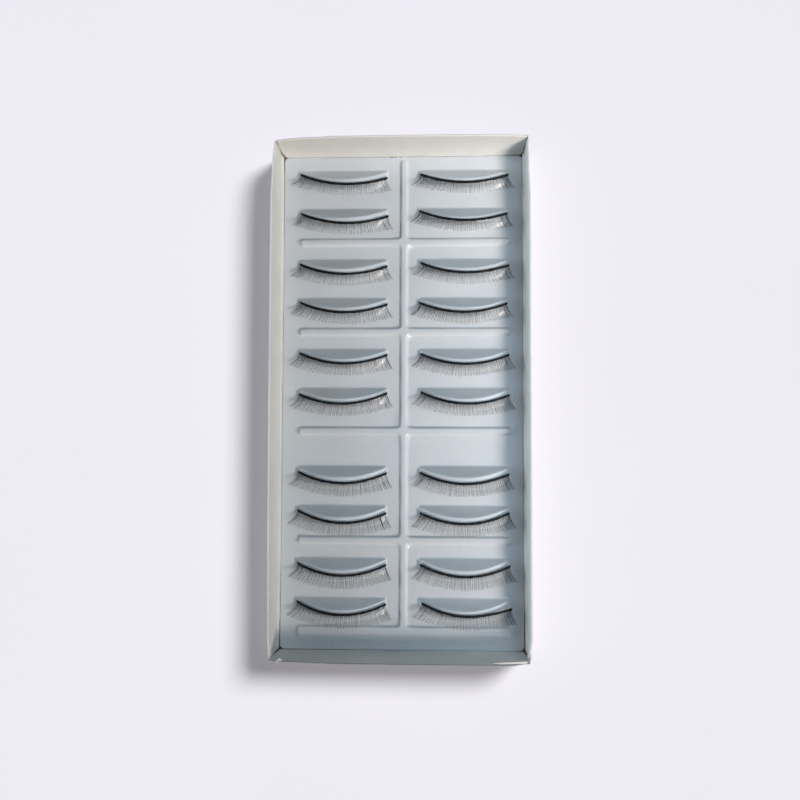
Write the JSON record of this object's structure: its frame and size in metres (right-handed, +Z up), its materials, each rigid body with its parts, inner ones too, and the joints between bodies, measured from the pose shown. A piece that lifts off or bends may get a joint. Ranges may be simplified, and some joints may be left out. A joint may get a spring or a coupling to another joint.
{
  "type": "false eyelash strips in a boxed tray",
  "caption": "Open shallow paperboard box with a thermoformed insert whose arched seats in two columns each hold a false eyelash strip, a black band with a curled fringe.",
  "frame": {"origin": "middle of the box's underside, on the surface it stands on", "axes": "+X to the right and +Y to the head of the open box as it is read from above, +Z up out of the box"},
  "size_m": [0.0878, 0.1762, 0.0155],
  "materials": {
    "paperboard": "matt uncoated cream paperboard, folded over at the rim",
    "moulded_plastic": "thin white thermoformed sheet with a soft gloss",
    "lash_fibre": "black cotton-thread band with fine dark synthetic hair"
  },
  "bodies": {
    "root": {"box": "paperboard", "insert_tray": "moulded_plastic", "lash_left_01": "lash_fibre", "lash_left_02": "lash_fibre", "lash_left_03": "lash_fibre", "lash_left_04": "lash_fibre", "lash_left_05": "lash_fibre", "lash_left_06": "lash_fibre", "lash_left_07": "lash_fibre", "lash_left_08": "lash_fibre", "lash_left_09": "lash_fibre", "lash_left_10": "lash_fibre", "lash_right_01": "lash_fibre", "lash_right_02": "lash_fibre", "lash_right_03": "lash_fibre", "lash_right_04": "lash_fibre", "lash_right_05": "lash_fibre", "lash_right_06": "lash_fibre", "lash_right_07": "lash_fibre", "lash_right_08": "lash_fibre", "lash_right_09": "lash_fibre", "lash_right_10": "lash_fibre"}
  },
  "joints": []
}
